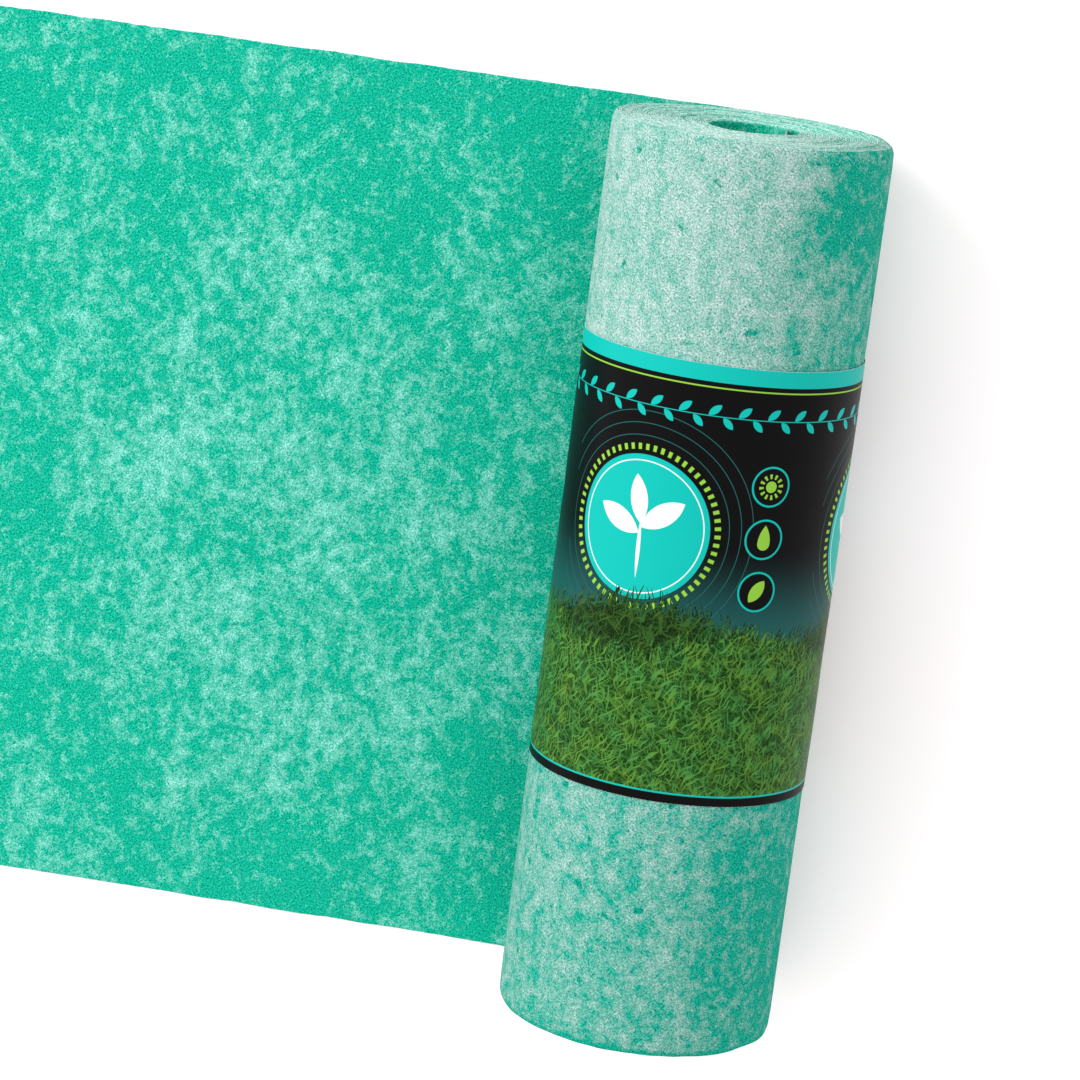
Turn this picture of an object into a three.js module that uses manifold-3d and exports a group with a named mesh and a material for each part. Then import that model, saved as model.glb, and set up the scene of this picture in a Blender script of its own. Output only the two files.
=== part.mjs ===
// A roll of grass seed mat, lying on a level floor with its free end laid out flat, and the printed
// band that is wrapped round it. Millimetres, +Z up. The roll's axis is along Y. The mat leaves the
// foot of the roll and lies along -X. The origin is on the floor, in the middle of the footprint.
import * as THREE from "three";
import { mergeVertices } from "three/addons/utils/BufferGeometryUtils.js";
import Module from "manifold-3d";

// Mat: one long web of mulch fibre and seed, wound on itself with no core.
const matWidth = 610;
const matLength = 16400;
const matThickness = 1.5;
const windingSlack = 0.08; // air between one turn and the next
const boreDiameter = 57;
const laidLength = 620; // free end, from the foot of the roll
const nipAngle = 6; // degrees short of the foot, where the roll's flank closes on the laid mat

// Open gaps between turns, which show as rings on both ends of the roll.
const turnsPerGap = 5;
const gapWidth = 0.9;
const gapDepth = 1.2;

// Printed band round the roll, open along the underside where the mat comes out.
const bandWidth = 292;
const bandOffset = 16; // from the roll's middle towards +Y
const bandThickness = 0.3;
const bandClearance = 0.3;
const bandStart = 14; // degrees round from the foot
const bandEnd = 345;

// How finely the round shapes are cut into flats.
const turnSegments = 72;
const boreSegments = 48;
const gapSegments = 40;

// The roll is as thick as its length of mat makes it.
const turnPitch = matThickness + windingSlack;
const boreRadius = boreDiameter / 2;
const woundLength = matLength - laidLength;
const rollRadius = Math.sqrt(boreRadius ** 2 + (woundLength * turnPitch) / Math.PI);

// The outer turn is a spiral: its radius falls by one turn's pitch from the foot, round the roll and
// back to the foot. The angle is in degrees from the foot, up the +X side first.
function spiralPoint(angle, proud = 0) {
  const radius = rollRadius - (turnPitch * angle) / 360 + proud;
  const a = THREE.MathUtils.degToRad(angle);
  return new THREE.Vector2(radius * Math.sin(a), rollRadius - radius * Math.cos(a));
}

function spiralArc(from, to, proud = 0) {
  const steps = Math.max(2, Math.round((turnSegments * Math.abs(to - from)) / 360));
  return Array.from({ length: steps + 1 }, (_, i) => spiralPoint(from + ((to - from) * i) / steps, proud));
}

// A section drawn in X and Z, made into a bar of the given width along Y, centred on middle.
function barAlongY(section, width, middle) {
  const bar = new THREE.ExtrudeGeometry(section, { depth: width, bevelEnabled: false });
  bar.rotateX(Math.PI / 2); // the section's up becomes +Z, and its depth runs towards -Y
  bar.translate(0, middle + width / 2, 0);
  return bar;
}

const wasm = await Module();
wasm.setup();

function solidOf(geometry) {
  geometry.deleteAttribute("normal");
  geometry.deleteAttribute("uv");
  const merged = mergeVertices(geometry);
  const mesh = new wasm.Mesh({
    numProp: 3,
    vertProperties: merged.attributes.position.array,
    triVerts: new Uint32Array(merged.index.array),
  });
  return new wasm.Manifold(mesh);
}

function geometryOf(solid) {
  const mesh = solid.getMesh();
  const geometry = new THREE.BufferGeometry();
  geometry.setAttribute("position", new THREE.BufferAttribute(mesh.vertProperties, 3));
  geometry.setIndex(new THREE.BufferAttribute(mesh.triVerts, 1));
  return geometry;
}

// The laid mat, the outer turn and the wound turns inside it are one section with a round bore.
function matSection() {
  const outer = spiralArc(0, 360 - nipAngle);
  const nip = outer[outer.length - 1];
  const section = new THREE.Shape([
    new THREE.Vector2(-laidLength, 0),
    ...outer,
    new THREE.Vector2(nip.x, matThickness),
    new THREE.Vector2(-laidLength, matThickness),
  ]);
  const bore = Array.from({ length: boreSegments }, (_, i) => {
    const a = (2 * Math.PI * i) / boreSegments;
    return new THREE.Vector2(boreRadius * Math.cos(a), rollRadius + boreRadius * Math.sin(a));
  });
  section.holes.push(new THREE.Path(bore));
  return section;
}

// A ring with a V section, point down, which cuts one open gap into an end of the roll.
function gapCutter(radius, end) {
  const point = new THREE.Vector2(radius, -gapDepth);
  const outerLip = new THREE.Vector2(radius + gapWidth, gapDepth);
  const innerLip = new THREE.Vector2(radius - gapWidth, gapDepth);
  const ring = new THREE.LatheGeometry([point, outerLip, innerLip, point], gapSegments);
  if (end < 0) ring.rotateX(Math.PI);
  ring.translate(0, (end * matWidth) / 2, rollRadius);
  return ring;
}

function matGeometry() {
  let mat = solidOf(barAlongY(matSection(), matWidth, 0));
  const gapPitch = turnsPerGap * turnPitch;
  const outermostGap = rollRadius - turnPitch - gapWidth;
  for (const end of [-1, 1]) {
    for (let radius = boreRadius + gapPitch; radius < outermostGap; radius += gapPitch) {
      mat = mat.subtract(solidOf(gapCutter(radius, end)));
    }
  }
  return geometryOf(mat);
}

function bandGeometry() {
  const outside = spiralArc(bandStart, bandEnd, bandClearance + bandThickness);
  const inside = spiralArc(bandEnd, bandStart, bandClearance);
  return barAlongY(new THREE.Shape([...outside, ...inside]), bandWidth, bandOffset);
}

const seedMat = new THREE.Mesh(
  matGeometry(),
  new THREE.MeshStandardMaterial({ color: 0x3fc3a0, roughness: 0.95, metalness: 0 }),
);
seedMat.name = "seed_mat";

const printedBand = new THREE.Mesh(
  bandGeometry(),
  new THREE.MeshStandardMaterial({ color: 0x1a1a1c, roughness: 0.45, metalness: 0 }),
);
printedBand.name = "printed_band";

// The band reaches furthest in +X, at half the roll's height.
const reachRight = spiralPoint(90, bandClearance + bandThickness).x;

const part = new THREE.Group();
part.add(seedMat, printedBand);
part.children.forEach((piece) => {
  piece.position.x = (laidLength - reachRight) / 2;
});
export default part;
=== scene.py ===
"""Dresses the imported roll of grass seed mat: its fibrous web, cut edges and printed band.

The web is rebuilt at its full length, as one sheet wound in a spiral with its free end laid out flat.
Its two faces and its cut edges each have a material made of noise on the web's own map, so the
fibres follow the sheet. Everything is in metres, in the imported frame.
"""

import bpy
import numpy as np
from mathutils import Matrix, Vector


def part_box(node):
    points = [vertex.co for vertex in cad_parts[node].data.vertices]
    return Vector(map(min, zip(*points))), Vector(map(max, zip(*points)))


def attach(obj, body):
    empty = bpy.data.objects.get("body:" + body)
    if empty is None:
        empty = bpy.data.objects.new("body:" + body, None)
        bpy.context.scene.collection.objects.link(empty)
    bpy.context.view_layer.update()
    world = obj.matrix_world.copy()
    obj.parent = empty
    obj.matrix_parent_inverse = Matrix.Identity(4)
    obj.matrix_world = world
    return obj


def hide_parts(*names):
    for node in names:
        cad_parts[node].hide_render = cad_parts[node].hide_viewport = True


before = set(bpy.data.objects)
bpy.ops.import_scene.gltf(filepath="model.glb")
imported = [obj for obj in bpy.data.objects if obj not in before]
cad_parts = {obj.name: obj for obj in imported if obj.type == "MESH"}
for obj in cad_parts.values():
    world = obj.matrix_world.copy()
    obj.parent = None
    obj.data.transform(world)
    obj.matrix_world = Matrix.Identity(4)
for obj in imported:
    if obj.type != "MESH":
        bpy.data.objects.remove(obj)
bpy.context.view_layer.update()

# The mat's sizes, and the roll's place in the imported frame.
MAT_THICKNESS = 0.0015
TURN_PITCH = 0.00158
BORE_RADIUS = 0.0285
LAID_LENGTH = 0.62
mat_low, mat_high = (np.array(corner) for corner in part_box("seed_mat"))
ROLL_X = mat_low[0] + LAID_LENGTH
ROLL_RADIUS = (mat_high[2] + TURN_PITCH / 2) / 2
HALF_WIDTH = mat_high[1]
FULL_TURN = 2 * np.pi
TURNS = (ROLL_RADIUS - MAT_THICKNESS - BORE_RADIUS) / TURN_PITCH

# The printed band's sizes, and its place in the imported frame.
band_low, band_high = (np.array(corner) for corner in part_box("printed_band"))
BAND_BOTTOM = band_low[1]
BAND_WIDTH = band_high[1] - band_low[1]
BAND_THICKNESS = 0.0003
BAND_CLEARANCE = 0.0003  # between the mat and the band
BAND_START, BAND_END = np.radians([14, 345])  # round from the foot, up the +X side first

# How the winding departs from a perfect spiral.
EDGE_ROUNDING = 0.0006  # how far in from a cut edge its rounding reaches
CRUSH = 0.0024  # how far the outermost turns are pressed in at the ends of the roll
CRUSH_REACH = 0.0032  # how far that reaches along the roll
CRUSH_DEPTH = 0.012  # and how deep into the winding
TURN_WANDER = 0.0003  # sideways shift of one turn against the next
RAGGED_CUT = 0.00015  # how far the cut edge wavers along its length
TURN_WAVE = 0.0004  # in and out wobble of the turns
OUT_OF_ROUND = 0.0004  # how far the whole roll departs from a circle
CORE_SLIP = 0.0005  # slow sideways slip of the inner turns
BAND_PINCH = 0.00022  # how far the band presses the turns in
INNER_LIFT = 0.007  # how far the inner end springs off the winding
INNER_LIFT_ANGLE = 1.3  # over which it does, in radians
END_LIFT = 0.0022  # how far the free end curls off the floor
LAID_WAVE = 0.0005  # the shallow waves of the laid length
BAND_RIPPLE = 0.00012

# How finely the web and the band are divided: steps in metres, and stations a turn.
LAID_STEP = 0.0058
OUTER_STATIONS = 120
INNER_STATIONS = 56
BAND_STATIONS = 150
EDGE_SPOTS = np.array([0.00015, 0.0006, 0.002, 0.005, 0.014])  # in from a cut edge
ACROSS_STEP = 0.016
SHARP_EDGE = 55  # degrees between faces that are shaded apart

# The light: a white sky's strength, and a disk lamp over the -X side.
SKY = 1.43
KEY_SIZE = 2.46
KEY_DISTANCE = 4.0
KEY_HEIGHT = 34  # degrees over the floor
KEY_TURN = 32  # degrees from the -X side towards +Y
KEY_POWER = 133
FLOOR_COLOUR = (0.875, 0.828, 0.836, 1)

# The camera: its place from the roll's foot, the way it looks and its up side.
CAMERA_LENS = 139.06
CAMERA_PLACE = (0.1671, 0.6226, 2.8065)
CAMERA_LOOK = (-0.0972, -0.2190, -0.9709)
CAMERA_UP = (-0.1486, 0.9678, -0.2034)

# The pulp of each face: bare green, and covered with pale fibre.
OUTER_GREEN, OUTER_PALE = (0.003, 0.25, 0.177, 1), (0.262, 0.378, 0.35, 1)
INNER_GREEN, INNER_PALE = (0.0015, 0.298, 0.195, 1), (0.235, 0.56, 0.495, 1)
# The cut edge's green is darker than the faces' own: painted shade of the grooves between the turns.
EDGE_SHADED_GREEN, EDGE_PALE = (0.01, 0.2, 0.145, 1), (0.35, 0.5, 0.457, 1)

# The finest grain lightens and darkens the pulp by this much, in the same grey over green and pale.
GRAIN = 2.3
GRAIN_FLOOR = (0.035, 0.035, 0.035)
PULP_LAYERS = ((12.0, 1.0, "Clouds"), (84.0, 2.0, "Clumps"), (520.0, 0.0, "Flecks"))  # scale, detail
FIBRE_TURNS = (0.3, 1.35, 2.45)
FIBRE_SIZE = (0.0042, 0.0006, 1)

# The print's inks, and its sizes. Heights are from the band's lower edge.
BLACK = (0.0014, 0.0014, 0.0018, 1)
TURQUOISE = (0.0026, 0.315, 0.275, 1)
TEAL = (0.010, 0.082, 0.078, 1)
LIME = (0.18, 0.37, 0.035, 1)
WHITE = (0.52, 0.55, 0.54, 1)
PAPER = (0.6, 0.6, 0.59, 1)
PANEL_WIDTH = 0.196  # the print repeats this often round the roll
LEAF_STEP = 0.0196  # and the vine this often
LAWN_LAYERS = 9
BLADE_SIZE = (0.012, 0.0015, 1)
DISC_CENTRE = np.array([-0.034, 0.179])
SIGNS_ROUND = 0.050
SUN_HEIGHT, RAIN_HEIGHT, SHOOT_HEIGHT = 0.216, 0.181, 0.146


def smooth_step(low, high, value):
    """Cubic ease: 0 at or under low, 1 at or over high, 3t^2 - 2t^3 between."""
    t = np.clip((value - low) / (high - low), 0, 1)
    return t * t * (3 - 2 * t)


def wobble(points, wavelength, seed, waves=9):
    """Smooth noise about -1 to 1: a sum of plane sine waves of about one wavelength, in random
    directions and phases, over the root of their number."""
    draw = np.random.default_rng(seed)
    points = np.stack(np.broadcast_arrays(*points), -1)
    ways = draw.normal(size=(waves, points.shape[-1]))
    ways /= np.linalg.norm(ways, axis=1)[:, None]
    rates = FULL_TURN / wavelength * draw.uniform(0.6, 1.4, waves)
    phases = draw.uniform(0, FULL_TURN, waves)
    return np.sin(points @ (ways * rates[:, None]).T + phases).sum(-1) / np.sqrt(waves)


def spiral(angle, proud=0.0):
    """A point and its outward direction on the spiral, at an angle from the roll's foot.

    The radius is the roll's own, less one pitch a turn, plus proud.
    """
    radius = ROLL_RADIUS - TURN_PITCH * angle / FULL_TURN + proud
    out = np.stack([np.sin(angle), -np.cos(angle)], -1)
    return np.array([ROLL_X, ROLL_RADIUS]) + radius[..., None] * out, out


def web_line():
    """The middle of the web, seen along the roll, from its free end to its inner end.

    Straight and level to the foot, then the spiral to the bore. Gives each station's distance from
    the free end, angle round the roll, place and outward direction, and how many are laid or outer.
    """
    laid_x = np.arange(mat_low[0], ROLL_X - LAID_STEP / 2, LAID_STEP)
    outer = FULL_TURN * np.arange(OUTER_STATIONS) / OUTER_STATIONS
    inner = np.arange(FULL_TURN, FULL_TURN * TURNS, FULL_TURN / INNER_STATIONS)
    angle = np.concatenate([np.zeros(len(laid_x)), outer, inner])
    place, out = spiral(angle, -MAT_THICKNESS / 2)
    place[: len(laid_x), 0] = laid_x
    steps = np.linalg.norm(np.diff(place, axis=0), axis=1)
    distance = np.concatenate([[0.0], np.cumsum(steps)])
    return distance, angle, place, out, len(laid_x), len(laid_x) + OUTER_STATIONS


def rim(spots, half_width, thickness, rounding):
    """One loop round a strip's section: across it on the outer face and back on the inner one.

    spots are distances in from an edge, under half the width. The face is flat, and falls to the
    middle of the edge along a quarter ellipse over the rounding. Gives each point's place across the
    strip and its height off the middle, and which face each side of the loop belongs to: 0 outer,
    1 inner, 2 cut edge.
    """
    into = np.clip(spots / rounding, 0, 1)
    height = thickness / 2 * np.sqrt(1 - (1 - into) ** 2)
    across = np.concatenate([spots - half_width, (half_width - spots)[::-1]])
    outer_height = np.concatenate([height, height[::-1]])
    keep = np.concatenate([[True], np.diff(across) > 1e-7])
    across, outer_height = across[keep], outer_height[keep]
    places = np.concatenate([[-half_width], across, [half_width], across[::-1]])
    heights = np.concatenate([[0.0], outer_height, [0.0], -outer_height[::-1]])
    near_edge = half_width - np.abs(places) < rounding * 0.99
    face = np.where(np.arange(len(places)) <= len(across), 0, 1)
    face[near_edge & np.roll(near_edge, -1)] = 2
    return places, heights, face


def loops_to_quads(first, stations, count):
    """Quads between each loop of points and the next, for loops of count points stored in a row."""
    station, spot = np.meshgrid(np.arange(stations - 1), np.arange(count), indexing="ij")
    here = first + station * count + spot
    beside = first + station * count + (spot + 1) % count
    return np.stack([here, beside, beside + count, here + count], -1).reshape(-1, 4)


def mesh_piece(name, points, polygons, slots, flat_map, depth, materials):
    """A mesh object from an array of points, a list of polygons that run anticlockwise seen from
    outside, a material slot for each polygon, and for each point a UV pair in metres and a depth:
    1 on the outer face, -1 on the inner."""
    mesh = bpy.data.meshes.new(name)
    mesh.from_pydata(points, [], polygons)
    corner_points = np.empty(len(mesh.loops), np.int32)
    mesh.loops.foreach_get("vertex_index", corner_points)
    layer = mesh.uv_layers.new(name="sheet")
    layer.data.foreach_set("uv", flat_map[corner_points].astype(np.float32).ravel())
    through = mesh.attributes.new("depth", "FLOAT", "POINT")
    through.data.foreach_set("value", depth.astype(np.float32))
    mesh.polygons.foreach_set("material_index", np.asarray(slots, np.int32))
    mesh.polygons.foreach_set("use_smooth", np.ones(len(polygons), bool))
    for material in materials:
        mesh.materials.append(material)
    mesh.update()
    mesh.set_sharp_from_angle(angle=np.radians(SHARP_EDGE))
    piece = bpy.data.objects.new(name, mesh)
    bpy.context.scene.collection.objects.link(piece)
    return piece


def wound_shape(points, angle):
    """The hand of the winding, on points of the wound web: a smooth push in and out of the roll and
    along it, so that no turn cuts its neighbour.

    In and out: a wobble, a pinch under the band, and a crush that fades from the roll's ends and
    from its outside. Along: each turn wanders a little from the one under it, the inner turns slip,
    and the cut edge wavers. The foot stays put.
    """
    x, y, z = points.T
    across, up = x - ROLL_X, z - ROLL_RADIUS
    radius = np.hypot(across, up)
    round_x, round_z = across / radius, up / radius
    free_of_foot = smooth_step(-0.985, -0.8, round_z)
    outside = smooth_step(ROLL_RADIUS - CRUSH_DEPTH, ROLL_RADIUS, radius)
    wave = wobble((round_x * 0.03, round_z * 0.03, radius), 0.011, 5)
    push = TURN_WAVE * wave * (1 - 0.6 * outside)
    push += OUT_OF_ROUND * wobble((round_x, round_z), 1.6, 8)
    from_end = HALF_WIDTH - np.abs(y)
    crush_wave = 1 + 0.35 * wobble((round_x, round_z), 0.7, 13)
    push -= CRUSH * crush_wave * outside * np.exp(-((from_end / CRUSH_REACH) ** 1.3))
    into_band = np.minimum(y - BAND_BOTTOM, BAND_BOTTOM + BAND_WIDTH - y)
    push -= BAND_PINCH * outside * smooth_step(-0.004, 0.002, into_band)
    radius = radius + push * free_of_foot
    turn = angle / FULL_TURN
    wander = TURN_WANDER * wobble((turn * 0.37, 0.3 * round_x, 0.3 * round_z), 0.8, 21)
    wander += CORE_SLIP * wobble((turn * 0.05, 0 * turn), 0.9, 22) * (1 - outside)
    wander += RAGGED_CUT * wobble((angle * 0.06, radius), 0.011, 23)
    return np.stack([ROLL_X + radius * round_x, y + wander, ROLL_RADIUS + radius * round_z], -1)


def laid_shape(points):
    """The lie of the free end on the floor: a shallow wave, a curl at the free end and at its two
    corners, and edges that waver sideways. All fade to nothing at the roll's foot."""
    x, y, z = points.T
    from_free_end = x - mat_low[0]
    before_foot = smooth_step(0.0, 0.12, ROLL_X - x)
    lift = LAID_WAVE * (1 + wobble((x, y), 0.13, 31)) * before_foot
    corner = np.exp(-(((HALF_WIDTH - np.abs(y)) / 0.09) ** 2))
    lift += END_LIFT * (0.35 + corner) * np.exp(-((from_free_end / 0.05) ** 1.6))
    edge = np.exp(-(HALF_WIDTH - np.abs(y)) / 0.02)
    waver = 0.0003 * wobble((x, np.sign(y) * 0.4), 0.05, 33) * edge * before_foot
    waver += 0.00015 * wobble((x, np.sign(y)), 0.011, 34) * edge * before_foot
    ragged = 0.00035 * wobble((y, 0 * y), 0.03, 35) * np.exp(-from_free_end / 0.006)
    return np.stack([x + ragged, y + waver, z + np.maximum(lift, 0)], -1)


def seed_web(materials):
    """The mat, as a closed strip: a loop round its section at each station of the web's line.

    The laid and outer stretches have a fine loop, and the wound turns under them a coarse one, whose
    points are some of the fine one's. One row of many-sided faces joins the two.
    """
    distance, angle, place, out, laid, visible = web_line()
    middle = np.arange(EDGE_SPOTS[-1] + ACROSS_STEP, HALF_WIDTH - ACROSS_STEP / 3, ACROSS_STEP)
    spots = {"fine": np.concatenate([EDGE_SPOTS, middle, [HALF_WIDTH]])}
    spots["coarse"] = np.concatenate([EDGE_SPOTS, [HALF_WIDTH]])
    fine, coarse = (rim(spots[k], HALF_WIDTH, MAT_THICKNESS, EDGE_ROUNDING) for k in spots)

    def section_points(stations, loop):
        across, height, _ = loop
        centre, way = place[stations][:, None], out[stations][:, None]
        seen = centre + height[None, :, None] * way
        wide = np.broadcast_to(across, seen.shape[:2])
        return np.stack([seen[..., 0], wide, seen[..., 1]], -1).reshape(-1, 3)

    def section_map(stations, loop):
        wide = np.broadcast_to(loop[0], (len(distance[stations]), len(loop[0])))
        along = np.broadcast_to(distance[stations][:, None], wide.shape)
        return np.stack([along, wide], -1).reshape(-1, 2)

    front, back = slice(0, visible), slice(visible, None)
    counts = len(fine[0]), len(coarse[0])
    points = np.concatenate([section_points(front, fine), section_points(back, coarse)])
    flat_map = np.concatenate([section_map(front, fine), section_map(back, coarse)])
    turned = np.concatenate([np.repeat(angle[front], counts[0]), np.repeat(angle[back], counts[1])])
    depth = np.concatenate([np.tile(fine[1], visible), np.tile(coarse[1], len(angle) - visible)])

    on_floor = np.arange(len(points)) < laid * counts[0]
    last_angle = FULL_TURN * TURNS
    lifted = INNER_LIFT * smooth_step(last_angle - INNER_LIFT_ANGLE, last_angle, turned)
    inwards = np.array([ROLL_X, 0, ROLL_RADIUS]) - points
    inwards[:, 1] = 0
    inwards /= np.linalg.norm(inwards, axis=1)[:, None]
    points += inwards * lifted[:, None]
    points[on_floor] = laid_shape(points[on_floor])
    points[~on_floor] = wound_shape(points[~on_floor], turned[~on_floor])

    start = visible * counts[0]
    last_fine = start - counts[0]
    back_stations = (len(points) - start) // counts[1]
    fine_quads = loops_to_quads(0, visible, counts[0])
    coarse_quads = loops_to_quads(start, back_stations, counts[1])
    shared = [int(np.flatnonzero(np.isclose(fine[0], a) & np.isclose(fine[1], h))[0])
              for a, h in zip(coarse[0], coarse[1])]
    joins = []
    for spot in range(counts[1]):
        ahead = (spot + 1) % counts[1]
        side = np.arange(shared[spot], (shared[ahead] or counts[0]) + 1) % counts[0]
        joins.append([start + spot, *(last_fine + side).tolist(), start + ahead])
    ends = [list(range(counts[0]))[::-1], list(range(len(points) - counts[1], len(points)))]
    polygons = [*fine_quads.tolist(), *coarse_quads.tolist(), *joins, *ends]
    slots = np.concatenate([
        np.tile(fine[2], visible - 1), np.tile(coarse[2], back_stations - 1), coarse[2], [2, 2],
    ])
    return mesh_piece("seed_mat_web", points, polygons, slots, flat_map, depth * 2 / MAT_THICKNESS,
                      materials)


def printed_wrap(materials):
    """The band, as a closed strip whose line is the spiral's outer turn, a clearance further out."""
    angle = np.linspace(BAND_START, BAND_END, BAND_STATIONS)
    proud = BAND_CLEARANCE + BAND_THICKNESS / 2
    place, out = spiral(angle, proud)
    spots = np.concatenate([[0.00008, 0.0004, 0.002, 0.006], np.linspace(0.02, BAND_WIDTH / 2, 8)])
    across, height, face = rim(spots, BAND_WIDTH / 2, BAND_THICKNESS, BAND_THICKNESS / 2)
    middle = BAND_BOTTOM + BAND_WIDTH / 2
    seen = place[:, None] + height[None, :, None] * out[:, None]
    wide = np.broadcast_to(across + middle, seen.shape[:2])
    ripple = BAND_RIPPLE * wobble((angle[:, None] * 0.094, wide), 0.07, 41)
    seen = seen + ripple[..., None] * out[:, None]
    points = np.stack([seen[..., 0], wide, seen[..., 1]], -1).reshape(-1, 3)
    round_roll = (np.pi - angle) * ROLL_RADIUS  # from the top of the roll, towards +X
    along = np.broadcast_to(round_roll[:, None], seen.shape[:2])
    flat_map = np.stack([along, wide - BAND_BOTTOM], -1).reshape(-1, 2)
    count = len(across)
    ends = [list(range(count))[::-1], list(range(len(points) - count, len(points)))]
    polygons = [*loops_to_quads(0, len(angle), count).tolist(), *ends]
    slots = np.concatenate([np.tile(np.where(face == 2, 1, face), len(angle) - 1), [1, 1]])
    depth = np.tile(height * 2 / BAND_THICKNESS, len(angle))
    return mesh_piece("printed_wrap", points, polygons, slots, flat_map, depth, materials)


class Graph:
    """A node tree with short calls. Each adds a node, feeds it, and gives back its output socket."""

    def __init__(self, tree):
        self.tree = tree

    def add(self, kind, inputs=None, output=0, **settings):
        """A node of a kind, with its settings and inputs: a value, or a socket to link."""
        node = self.tree.nodes.new(kind)
        for name, value in settings.items():
            setattr(node, name, value)
        for socket, value in (inputs or {}).items():
            self.feed(node.inputs[socket], value)
        return node.outputs[output]

    def feed(self, socket, value):
        if isinstance(value, bpy.types.NodeSocket):
            self.tree.links.new(value, socket)
        else:
            socket.default_value = value

    def math(self, operation, *values, clamp=False):
        return self.add("ShaderNodeMath", dict(enumerate(values)), operation=operation, use_clamp=clamp)

    def ease(self, value, low, high, to_low=0.0, to_high=1.0):
        """The value from low to high, mapped with a soft start and stop, and held beyond them."""
        inputs = {"Value": value, "From Min": low, "From Max": high, "To Min": to_low, "To Max": to_high}
        return self.add("ShaderNodeMapRange", inputs, interpolation_type="SMOOTHSTEP")

    def blend(self, factor, first, second):
        inputs = {0: factor, 6: first, 7: second}
        return self.add("ShaderNodeMix", inputs, output=2, data_type="RGBA")

    def noise(self, vector, scale, detail=2.0, roughness=0.5, distortion=0.0):
        inputs = {"Vector": vector, "Scale": scale, "Detail": detail}
        inputs |= {"Roughness": roughness, "Distortion": distortion}
        return self.add("ShaderNodeTexNoise", inputs, noise_dimensions="3D")

    def placed(self, vector, move=(0, 0, 0), turn=0.0, unit=(1, 1, 1)):
        """The vector from a moved origin, on turned axes, in units of the given sizes."""
        inputs = {"Vector": vector, "Location": move, "Rotation": (0, 0, turn), "Scale": unit}
        return self.add("ShaderNodeMapping", inputs, vector_type="TEXTURE")

    def length(self, vector):
        return self.add("ShaderNodeVectorMath", {0: vector}, output=1, operation="LENGTH")

    def split(self, vector):
        node = self.tree.nodes.new("ShaderNodeSeparateXYZ")
        self.feed(node.inputs[0], vector)
        return node.outputs


SOCKET = {"colour": "NodeSocketColor", "value": "NodeSocketFloat", "vector": "NodeSocketVector"}


def effect(name, inputs, outputs):
    """An empty shader node group with named sockets: its graph, its input sockets and its output node."""
    tree = bpy.data.node_groups.new(name, "ShaderNodeTree")
    for label, kind in inputs:
        tree.interface.new_socket(label, in_out="INPUT", socket_type=SOCKET[kind])
    for label, kind in outputs:
        tree.interface.new_socket(label, in_out="OUTPUT", socket_type=SOCKET[kind])
    graph = Graph(tree)
    source = tree.nodes.new("NodeGroupInput").outputs
    result = tree.nodes.new("NodeGroupOutput").inputs
    return graph, source, result


def fibre_effect():
    """Fine matted fibre: thin streaks in three directions, the brightest one on top at each point.

    Streaks are noise in units of a fibre's length and width. Its output is about 0 to 1.
    """
    graph, source, result = effect("matted_fibre", [("Vector", "vector")], [("Fibre", "value")])
    top = None
    for number, turn in enumerate(FIBRE_TURNS):
        lying = graph.placed(source["Vector"], (0.31 * number, 0, number), turn, FIBRE_SIZE)
        streak = graph.noise(lying, 1.0, 1.0, 0.5, 0.6)
        top = streak if top is None else graph.math("MAXIMUM", top, streak)
    graph.feed(result["Fibre"], graph.ease(top, 0.46, 0.76))
    return graph.tree


def pulp_effect(fibre):
    """The pulp's cover of pale fibre over green: clouds, clumps, flecks and streaks added up.

    Cover sets how much pale fibre there is, and Clouds, Clumps and Flecks how much that drifts over
    a hand's width, a finger's and a fibre's. Spots are small holes in the cover, also darkened as
    painted shade in them. Grain lightens and darkens both colours alike.
    """
    inputs = [("Vector", "vector"), ("Green", "colour"), ("Pale", "colour"), ("Cover", "value")]
    inputs += [("Clouds", "value"), ("Clumps", "value"), ("Flecks", "value"), ("Spots", "value")]
    outputs = [("Colour", "colour"), ("Height", "value")]
    graph, source, result = effect("pulp_cover", inputs, outputs)
    vector = source["Vector"]
    streaks = graph.add("ShaderNodeGroup", {"Vector": vector}, node_tree=fibre)
    total = source["Cover"]
    for number, (scale, detail, amount) in enumerate(PULP_LAYERS):
        noise = graph.noise(graph.placed(vector, (3 * number, 1, 4), 0.5 + number), scale, detail, 0.88)
        total = graph.math("MULTIPLY_ADD", graph.math("SUBTRACT", noise, 0.5), source[amount], total)
    loose = graph.math("SUBTRACT", streaks, 0.45)
    total = graph.math("MULTIPLY_ADD", loose, 0.1, total)
    spots = graph.noise(graph.placed(vector, (7, 2, 5)), 95.0, 1.0, 0.5)
    holes_and_shade = graph.math("MULTIPLY", graph.ease(spots, 0.68, 0.76), source["Spots"])
    cover = graph.math("SUBTRACT", total, holes_and_shade, clamp=True)
    colour = graph.blend(cover, source["Green"], source["Pale"])
    grain = graph.noise(graph.placed(vector, (2, 8, 1), 0.6), 800.0, 1.0, 0.8)
    grain = graph.math("MULTIPLY_ADD", loose, 0.07, graph.math("SUBTRACT", grain, 0.5))
    # Painted shade: the holes are darkened, as if shaded down inside them.
    grain = graph.math("MULTIPLY_ADD", holes_and_shade, -0.12, grain)
    gain = graph.add("ShaderNodeVectorMath", {0: colour, 1: GRAIN_FLOOR}, operation="ADD")
    inputs = {0: gain, 1: graph.math("MULTIPLY", grain, GRAIN), 2: colour}
    grained = graph.add("ShaderNodeVectorMath", inputs, operation="MULTIPLY_ADD")
    least = graph.add("ShaderNodeVectorMath", {0: grained, 1: (0.001, 0.001, 0.001)}, operation="MAXIMUM")
    graph.feed(result["Colour"], least)
    graph.feed(result["Height"], graph.math("MULTIPLY_ADD", cover, 0.5, streaks))
    return graph.tree


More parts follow.
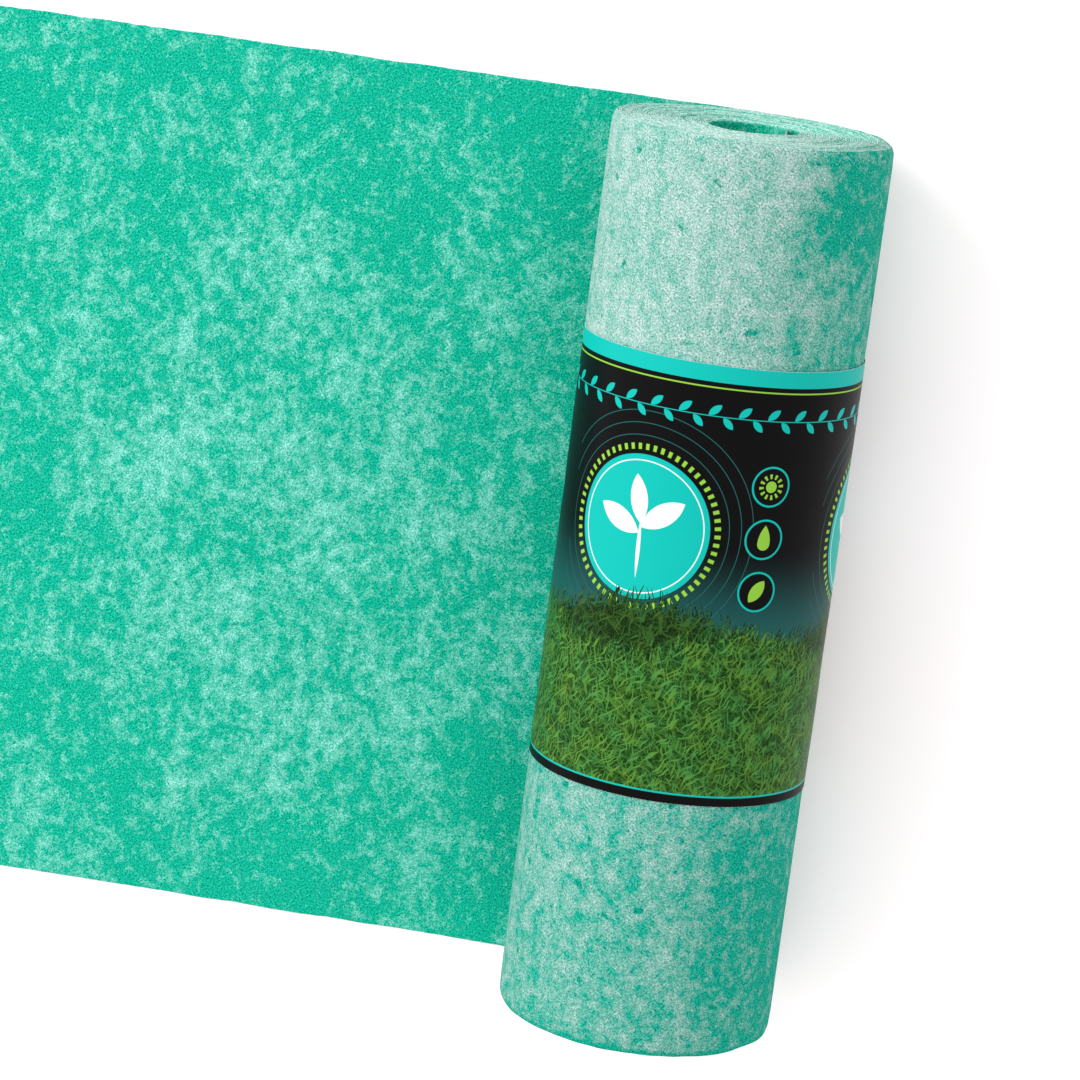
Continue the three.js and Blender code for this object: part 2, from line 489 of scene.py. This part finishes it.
def surface(name, roughness, specular=0.3):
    """An empty material: its graph, its map's vector in metres and its shader."""
    material = bpy.data.materials.new(name)
    material.use_nodes = True
    graph = Graph(material.node_tree)
    shader = next(n for n in graph.tree.nodes if n.type == "BSDF_PRINCIPLED")
    shader.inputs["Roughness"].default_value = roughness
    shader.inputs["Specular IOR Level"].default_value = specular
    sheet = graph.add("ShaderNodeUVMap", uv_map="sheet")
    return material, graph, sheet, shader


def bump(graph, shader, height, strength, distance):
    """Feeds a height into a material's normal."""
    inputs = {"Height": height, "Strength": strength, "Distance": distance}
    graph.feed(shader.inputs["Normal"], graph.add("ShaderNodeBump", inputs))


def pulp_material(name, pulp, green, pale, **amounts):
    """One face of the mat. Cover is a number, or a function that wires one in."""
    material, graph, sheet, shader = surface(name, 0.95, 0.03)
    group = graph.tree.nodes.new("ShaderNodeGroup")
    group.node_tree = pulp
    values = {"Vector": sheet, "Green": green, "Pale": pale} | amounts
    for socket, value in values.items():
        graph.feed(group.inputs[socket], value(graph) if callable(value) else value)
    graph.feed(shader.inputs["Base Color"], group.outputs["Colour"])
    bump(graph, shader, group.outputs["Height"], 0.5, 0.0004)
    return material


def outer_cover(graph):
    """The outer face's cover of pale fibre: thick at the +Y end and on the -X side, thinner along
    the roll towards -Y and on its +X side, thin at the -Y rim as painted shade where the rim rounds
    over towards the floor, and with a bare patch near the +Y end."""
    place = graph.add("ShaderNodeTexCoord", output=3)
    x, y, _ = graph.split(place)
    along = graph.ease(y, -0.2, 0.12, 0.35, 0.73)
    drift = graph.noise(place, 22.0, 2.0, 0.5)
    shifted = graph.math("MULTIPLY_ADD", drift, 0.05, x)
    most = graph.ease(y, -0.2, 0.12, 0.28, 0.46)
    side = graph.ease(shifted, ROLL_X + 0.05, ROLL_X + 0.095, 0.0, most)
    # Painted shade: the pale cover thins at the -Y rim, where the rim rounds over towards the floor.
    painted_rim_shade = graph.ease(y, 0.001 - HALF_WIDTH, 0.006 - HALF_WIDTH, -0.42, 0.0)
    where = graph.add("ShaderNodeCombineXYZ", {0: shifted, 1: y})
    where = graph.placed(where, (ROLL_X + 0.097, HALF_WIDTH - 0.034, 0), 0.25, (0.024, 0.045, 1))
    bare = graph.ease(graph.length(where), 0.3, 1.3, -0.3, 0.0)
    return graph.math("ADD", graph.math("SUBTRACT", along, side), graph.math("ADD", painted_rim_shade, bare))


def inner_cover(graph):
    """The inner face's cover: thickest in the middle of the laid length, thin inside the bore, and
    pale with loose fibre at the rims of the wound turns."""
    x, y, z = graph.split(graph.add("ShaderNodeTexCoord", output=3))
    away = {0: graph.math("SUBTRACT", x, ROLL_X), 1: graph.math("SUBTRACT", z, ROLL_RADIUS)}
    radius = graph.length(graph.add("ShaderNodeCombineXYZ", away))
    flat = graph.add("ShaderNodeCombineXYZ", {0: x, 1: y})
    spread = graph.length(graph.placed(flat, (-0.02, -0.02, 0), 0.0, (0.3, 0.3, 1)))
    laid = graph.ease(spread, 0.15, 0.95, 0.23, 0.05)
    cover = graph.ease(radius, BORE_RADIUS + 0.002, BORE_RADIUS + 0.004, -0.05, laid)
    at_rim = graph.ease(graph.math("ABSOLUTE", y), HALF_WIDTH - 0.003, HALF_WIDTH - 0.001)
    wound = graph.ease(radius, ROLL_RADIUS - 0.0005, ROLL_RADIUS - 0.001)
    return graph.math("MULTIPLY_ADD", graph.math("MULTIPLY", at_rim, wound), 0.32, cover)


def edge_cover_and_groove_shade(graph):
    """The cut edge's cover: pale along the middle of the thickness, and green towards both faces,
    which is painted shade of the grooves between the turns.
    """
    depth = graph.add("ShaderNodeAttribute", output=2, attribute_name="depth")
    return graph.ease(graph.math("ABSOLUTE", depth), 0.55, 1.0, 0.85, 0.1)


def web_materials():
    """The mat's outer face, inner face and cut edges."""
    pulp = pulp_effect(fibre_effect())
    outer = pulp_material("pulp_outer_face", pulp, OUTER_GREEN, OUTER_PALE,
                          Cover=outer_cover, Clouds=0.6, Clumps=2.2, Flecks=0.3, Spots=0.6)
    inner = pulp_material("pulp_inner_face", pulp, INNER_GREEN, INNER_PALE,
                          Cover=inner_cover, Clouds=0.9, Clumps=2.0, Flecks=0.25, Spots=0.3)
    edge = pulp_material("pulp_cut_edge", pulp, EDGE_SHADED_GREEN, EDGE_PALE,
                         Cover=edge_cover_and_groove_shade, Clouds=0.3, Clumps=1.9, Flecks=1.4, Spots=0.0)
    return outer, inner, edge


def lawn_effect():
    """A printed lawn seen from above: blades as thin streaks in nine directions, laid over each other
    from dark to light. Each layer is noise in units of a blade's length and width."""
    graph, source, result = effect("printed_lawn", [("Vector", "vector")], [("Colour", "colour")])
    colour = (0.004, 0.026, 0.002, 1)
    bend = graph.noise(source["Vector"], 70.0, 1.0, 0.5)
    tone = graph.ease(graph.noise(source["Vector"], 55.0, 2.0, 0.6), 0.35, 0.65)
    for number in range(LAWN_LAYERS):
        light = (number + 1) / LAWN_LAYERS
        cool = np.array([0.008, 0.042, 0.006]) + light**2 * np.array([0.034, 0.120, 0.026])
        warm = np.array([0.012, 0.044, 0.004]) + light**2 * np.array([0.056, 0.124, 0.018])
        shade = graph.blend(tone, (*cool, 1), (*warm, 1))
        move, turn = (0.13 * number, 0.4, number), 2.4 * number + 0.4
        lying = graph.placed(source["Vector"], move, turn, BLADE_SIZE)
        bent = {0: bend, 1: (0.5, 8, 0), 2: lying}
        bent = graph.add("ShaderNodeVectorMath", bent, operation="MULTIPLY_ADD")
        blades = graph.ease(graph.noise(bent, 1.0, 0.0), 0.60, 0.66)
        colour = graph.blend(blades, colour, shade)
    graph.feed(result["Colour"], colour)
    return graph.tree


class Print(Graph):
    """Flat printed shapes on a map in metres. Each shape is a mask: 1 inside, 0 outside, 0.1 mm soft."""

    SOFT = 0.0001

    def __init__(self, graph, point):
        super().__init__(graph.tree)
        self.point = point
        self.round, self.up, _ = self.split(point)

    def inside(self, depth):
        return self.ease(depth, -self.SOFT, self.SOFT)

    def offset(self, centre):
        inputs = {0: self.point, 1: (*centre, 0)}
        return self.add("ShaderNodeVectorMath", inputs, operation="SUBTRACT")

    def from_centre(self, centre):
        return self.length(self.offset(centre))

    def disc(self, centre, radius):
        return self.inside(self.math("SUBTRACT", radius, self.from_centre(centre)))

    def ring(self, centre, radius, width):
        off = self.math("ABSOLUTE", self.math("SUBTRACT", self.from_centre(centre), radius))
        return self.inside(self.math("SUBTRACT", width / 2, off))

    def stripe(self, value, low, high):
        return self.math("MULTIPLY", self.inside(self.math("SUBTRACT", value, low)),
                         self.inside(self.math("SUBTRACT", high, value)))

    def leaf(self, stem, tip, plumpness):
        """Where two equal discs overlap, each through the stem and the tip."""
        stem, tip = np.array(stem), np.array(tip)
        half = np.linalg.norm(tip - stem) / 2
        aside = np.array([stem[1] - tip[1], tip[0] - stem[0]]) / (2 * half)
        offset = half * (1 / plumpness - plumpness) / 2
        radius = np.hypot(half, offset)
        discs = [self.disc((stem + tip) / 2 + sign * offset * aside, radius) for sign in (1, -1)]
        return self.math("MULTIPLY", *discs)

    def rays(self, centre, inner, outer, count):
        """A ring cut into a number of even blocks."""
        across, along, _ = self.split(self.offset(centre))
        angle = self.math("ARCTAN2", along, across)
        beat = self.ease(self.math("SINE", self.math("MULTIPLY", angle, count)), -0.1, 0.5)
        return self.math("MULTIPLY", beat, self.stripe(self.from_centre(centre), inner, outer))

    def ridge(self, height, swell, phase, seed):
        """Everything under a rolling skyline with blades of grass standing up on it."""
        turn = self.math("MULTIPLY_ADD", self.round, FULL_TURN / PANEL_WIDTH, phase)
        skyline = self.math("MULTIPLY_ADD", self.math("SINE", turn), swell, height)
        over = self.math("SUBTRACT", self.up, skyline)
        tips = None
        for lean, move in ((0.4, 0.0), (-0.35, 2.7), (0.05, 5.1)):
            slanted = self.math("MULTIPLY_ADD", self.up, lean, self.round)
            column = {0: self.math("MULTIPLY", slanted, 700.0), 1: move + seed}
            blade = self.noise(self.add("ShaderNodeCombineXYZ", column), 1.0, 0.0)
            blade = self.ease(blade, 0.35, 0.8, -0.004, 0.016)
            tips = blade if tips is None else self.math("MAXIMUM", tips, blade)
        return self.inside(self.math("SUBTRACT", tips, over))

    def join(self, *masks):
        total = masks[0]
        for mask in masks[1:]:
            total = self.math("MAXIMUM", total, mask)
        return total


def band_materials():
    """The printed face, a generic garden design, and the white paper of its back and cut edges.

    A lawn with a ragged top runs round the lower edge, under a teal glow on black. Over it stand a
    seedling in a turquoise disc and three small signs: sun, rain and a shoot. A vine and rules run
    along the top. The whole repeats every panel.
    """
    material, graph, sheet, shader = surface("printed_face", 0.38, 0.05)
    round_roll, up, _ = graph.split(sheet)
    panel = graph.math("WRAP", round_roll, PANEL_WIDTH / 2, -PANEL_WIDTH / 2)
    art = Print(graph, graph.add("ShaderNodeCombineXYZ", {0: panel, 1: up}))
    lawn = graph.add("ShaderNodeGroup", {"Vector": sheet}, node_tree=lawn_effect())

    colour = art.blend(art.ease(art.up, 0.10, 0.175, 0.95, 0.0), BLACK, TEAL)
    centre = DISC_CENTRE
    for radius in (0.060, 0.068, 0.076):
        colour = art.blend(art.ring(centre, radius, 0.0005), colour, TEAL)
    far = art.ridge(0.117, 0.009, 2.2, 3.0)
    near = art.ridge(0.098, 0.012, 0.0, 0.0)
    shaded = art.add("ShaderNodeVectorMath", {0: lawn, 3: 0.42}, operation="SCALE")

    colour = art.blend(art.rays(centre, 0.0505, 0.0545, 60), colour, LIME)
    colour = art.blend(art.disc(centre, 0.0475), colour, TURQUOISE)
    colour = art.blend(art.ring(centre, 0.0435, 0.0008), colour, WHITE)
    seedling = art.join(art.leaf(centre + (0.001, 0.0), centre + (0.029, 0.020), 0.42),
                        art.leaf(centre + (0.0, -0.004), centre + (-0.031, 0.010), 0.42),
                        art.leaf(centre + (0.001, 0.002), centre + (-0.006, 0.034), 0.38),
                        art.leaf(centre + (0.0005, 0.006), centre + (0.002, -0.034), 0.07))
    colour = art.blend(seedling, colour, WHITE)
    colour = art.blend(near, art.blend(far, colour, shaded), lawn)

    heights = (SUN_HEIGHT, RAIN_HEIGHT, SHOOT_HEIGHT)
    sun, rain, shoot = (np.array([SIGNS_ROUND, height]) for height in heights)
    for spot in (sun, rain, shoot):
        colour = art.blend(art.disc(spot, 0.0135), colour, TURQUOISE)
        colour = art.blend(art.disc(spot, 0.0122), colour, BLACK)
    signs = art.join(art.disc(sun, 0.0038), art.rays(sun, 0.0054, 0.0085, 12),
                     art.disc(rain + (0, -0.0028), 0.0044),
                     art.math("MULTIPLY", art.leaf(rain + (0, -0.0151), rain + (0, 0.0095), 0.358),
                              art.stripe(art.up, rain[1] - 0.0028, rain[1] + 0.01)),
                     art.leaf(shoot + (-0.005, -0.007), shoot + (0.0045, 0.0075), 0.5))
    colour = art.blend(signs, colour, LIME)

    repeat = {0: art.math("WRAP", art.round, 0, LEAF_STEP), 1: art.up}
    vine = Print(art, art.add("ShaderNodeCombineXYZ", repeat))
    leaves = vine.join(vine.leaf((0.002, 0.2595), (0.0100, 0.2665), 0.45),
                       vine.leaf((0.0118, 0.2585), (0.0188, 0.2515), 0.45),
                       vine.stripe(vine.up, 0.2587, 0.2593))
    colour = art.blend(leaves, colour, TURQUOISE)
    colour = art.blend(art.stripe(art.up, 0.281, 0.292), colour, TURQUOISE)
    colour = art.blend(art.stripe(art.up, 0.2770, 0.2780), colour, LIME)
    colour = art.blend(art.stripe(art.up, 0.0, 0.006), colour, BLACK)
    colour = art.blend(art.stripe(art.up, 0.006, 0.0072), colour, TURQUOISE)
    graph.feed(shader.inputs["Base Color"], colour)
    paper, _, _, paper_shader = surface("paper_back", 0.8, 0.2)
    paper_shader.inputs["Base Color"].default_value = PAPER
    return material, paper


def floor():
    """A level sheet far wider than the part, a hair under it, so the two don't share a plane."""
    half, drop = 6.0, 0.0002
    corners = [(-half, -half, -drop), (half, -half, -drop), (half, half, -drop), (-half, half, -drop)]
    mesh = bpy.data.meshes.new("floor")
    mesh.from_pydata(corners, [], [(0, 1, 2, 3)])
    material = bpy.data.materials.new("floor_white")
    material.use_nodes = True
    shader = next(n for n in material.node_tree.nodes if n.type == "BSDF_PRINCIPLED")
    shader.inputs["Base Color"].default_value = FLOOR_COLOUR
    shader.inputs["Roughness"].default_value = 0.9
    shader.inputs["Specular IOR Level"].default_value = 0.1
    mesh.materials.append(material)
    plane = bpy.data.objects.new("floor", mesh)
    bpy.context.scene.collection.objects.link(plane)


def light():
    """A white sky, and one broad lamp low over the -X side."""
    world = bpy.data.worlds.new("studio")
    world.use_nodes = True
    background = world.node_tree.nodes["Background"]
    background.inputs["Color"].default_value = (1, 1, 1, 1)
    background.inputs["Strength"].default_value = SKY
    bpy.context.scene.world = world
    lamp = bpy.data.lights.new("key", "AREA")
    lamp.shape = "DISK"
    lamp.size = KEY_SIZE
    lamp.energy = KEY_POWER
    key = bpy.data.objects.new("key", lamp)
    height, turn = np.radians([KEY_HEIGHT, KEY_TURN])
    way = np.array([-np.cos(turn) * np.cos(height), np.sin(turn) * np.cos(height), np.sin(height)])
    key.location = np.array([ROLL_X, 0, 0]) + KEY_DISTANCE * way
    aim = Vector((ROLL_X, 0, 0.05)) - key.location
    key.rotation_euler = aim.to_track_quat("-Z", "Y").to_euler()
    bpy.context.scene.collection.objects.link(key)
    view = bpy.context.scene.view_settings
    view.view_transform = "Standard"
    view.look = "None"


def camera():
    """Nearly overhead, a little past the +Y end of the roll, with a long lens and a turned frame."""
    data = bpy.data.cameras.new("camera")
    data.sensor_width = 36
    data.lens = CAMERA_LENS
    data.clip_end = 30
    eye = bpy.data.objects.new("camera", data)
    eye.location = Vector((ROLL_X, 0, 0)) + Vector(CAMERA_PLACE)
    look = Vector(CAMERA_LOOK).normalized()
    up = Vector(CAMERA_UP)
    right = look.cross(up).normalized()
    up = right.cross(look)
    rotation = eye.matrix_world.to_3x3()
    for row in range(3):
        rotation[row] = (right[row], up[row], -look[row])
    eye.rotation_euler = rotation.to_euler()
    bpy.context.scene.collection.objects.link(eye)
    bpy.context.scene.camera = eye


camera()
light()
floor()

web = seed_web(web_materials())
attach(web, "root")
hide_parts("seed_mat")

wrap = printed_wrap(band_materials())
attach(wrap, "root")
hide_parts("printed_band")
